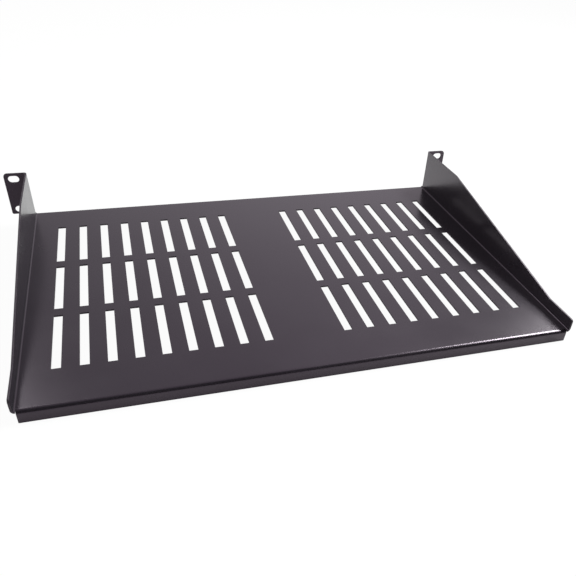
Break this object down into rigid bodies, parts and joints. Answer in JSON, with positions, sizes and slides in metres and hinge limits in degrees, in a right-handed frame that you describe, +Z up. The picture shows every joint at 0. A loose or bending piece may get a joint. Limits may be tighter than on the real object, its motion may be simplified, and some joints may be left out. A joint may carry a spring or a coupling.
{
  "type": "vented rack shelf",
  "caption": "Single-unit cantilever rack shelf folded from one steel sheet, with slotted vents, sloping side walls and slotted mounting ears.",
  "frame": {"origin": "centre of the pattern of four ear slots, in the plane of the ear faces that meet the rack's rails", "axes": "+X across the rack, +Y out of the rack's front, +Z up"},
  "size_m": [0.4826, 0.305, 0.0548],
  "materials": {
    "black_paint": "satin powder coat"
  },
  "bodies": {
    "root": {"vented_shelf": "black_paint"}
  },
  "joints": []
}
